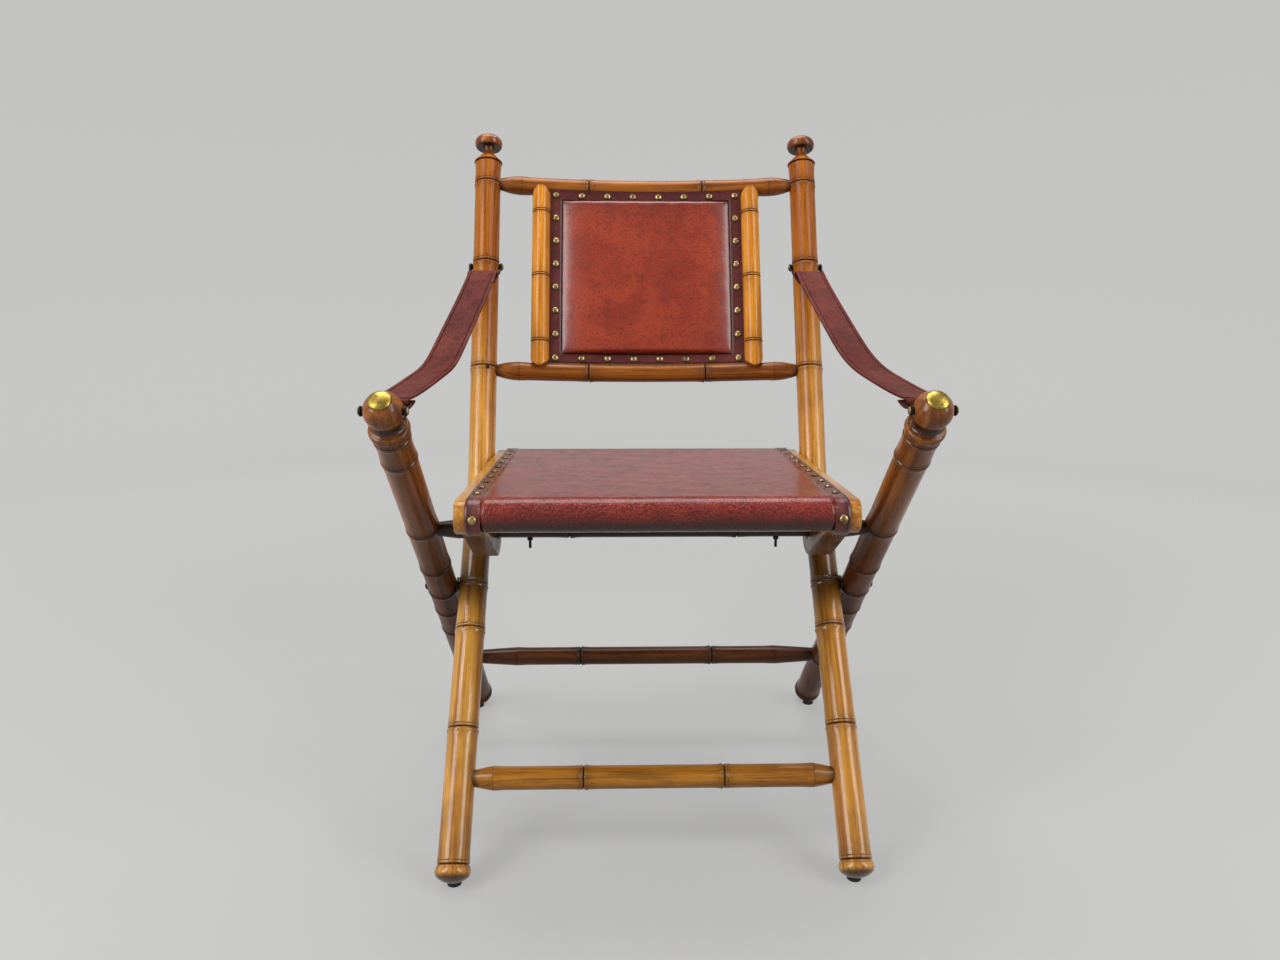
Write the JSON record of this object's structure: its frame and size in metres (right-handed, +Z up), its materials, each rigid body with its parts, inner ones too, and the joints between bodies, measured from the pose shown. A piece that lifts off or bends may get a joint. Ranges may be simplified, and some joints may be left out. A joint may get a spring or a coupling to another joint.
{
  "type": "folding campaign armchair",
  "caption": "Folding armchair of turned wood with two crossed side frames, a leather seat and back panel, ball-topped arm posts and hanging leather arm straps.",
  "frame": {"origin": "on the floor under the middle of the chair's bounding box", "axes": "+Z up, the front of the chair faces -Y, its left side is -X"},
  "size_m": [0.6112, 0.5914, 0.9204],
  "materials": {
    "varnished_wood": "glossy varnished turned hardwood",
    "dark_wood": "glossy varnished turned hardwood, darker",
    "pale_wood": "varnished hardwood, paler",
    "seat_leather": "waxed oxblood leather",
    "back_leather": "worn oxblood leather",
    "border_leather": "dark oxblood leather",
    "band_leather": "oxblood leather band",
    "strap_leather": "oxblood strap leather",
    "brass": "aged brass",
    "iron": "blackened iron",
    "rubber": "black rubber"
  },
  "bodies": {
    "back_frame": {"back_post_left": "varnished_wood", "finial_left": "varnished_wood", "front_glide_left": "rubber", "pivot_bolt_left": "iron", "pivot_nut_left": "iron", "pivot_washer_left": "iron", "seat_pivot_left": "iron", "post_bail_left": "iron", "back_slat_left": "pale_wood", "arm_strap_left": "strap_leather", "back_post_right": "varnished_wood", "finial_right": "varnished_wood", "front_glide_right": "rubber", "pivot_bolt_right": "iron", "pivot_nut_right": "iron", "pivot_washer_right": "iron", "seat_pivot_right": "iron", "post_bail_right": "iron", "back_slat_right": "pale_wood", "arm_strap_right": "strap_leather", "back_top_rail": "varnished_wood", "back_bottom_rail": "varnished_wood", "front_stretcher": "varnished_wood", "post_rivets": "brass", "rail_lock_pin": "iron", "back_core": "pale_wood", "back_pad": "back_leather", "back_border": "border_leather", "back_rear_cover": "back_leather", "back_nails": "brass"},
    "arm_frame": {"arm_post_left": "dark_wood", "arm_disc_left": "brass", "rear_glide_left": "rubber", "ball_bail_left": "iron", "arm_post_right": "dark_wood", "arm_disc_right": "brass", "rear_glide_right": "rubber", "ball_bail_right": "iron", "rear_stretcher": "dark_wood", "seat_rail": "dark_wood", "seat_rail_pins": "iron", "ball_rivets": "brass"},
    "seat": {"seat_board_left": "pale_wood", "seat_band_left": "band_leather", "seat_board_right": "pale_wood", "seat_band_right": "band_leather", "seat_front_cross": "pale_wood", "seat_rear_cross": "pale_wood", "seat_leather": "seat_leather", "seat_nails": "brass"}
  },
  "joints": [
    {"name": "fold", "type": "hinge", "parent": "back_frame", "child": "arm_frame", "pos_m": [0, -0.01193, 0.29898], "axis": [-1, 0, 0], "range_deg": [0, 66], "deforming": ["arm_strap_left", "arm_strap_right"]},
    {"name": "seat_tilt", "type": "hinge", "parent": "back_frame", "child": "seat", "pos_m": [0, 0.09562, 0.44209], "axis": [-1, 0, 0], "range_deg": [0, 34.4]}
  ],
  "couplings": [
    {"joint": "seat_tilt", "follows": "fold", "ratio": 0.52}
  ]
}
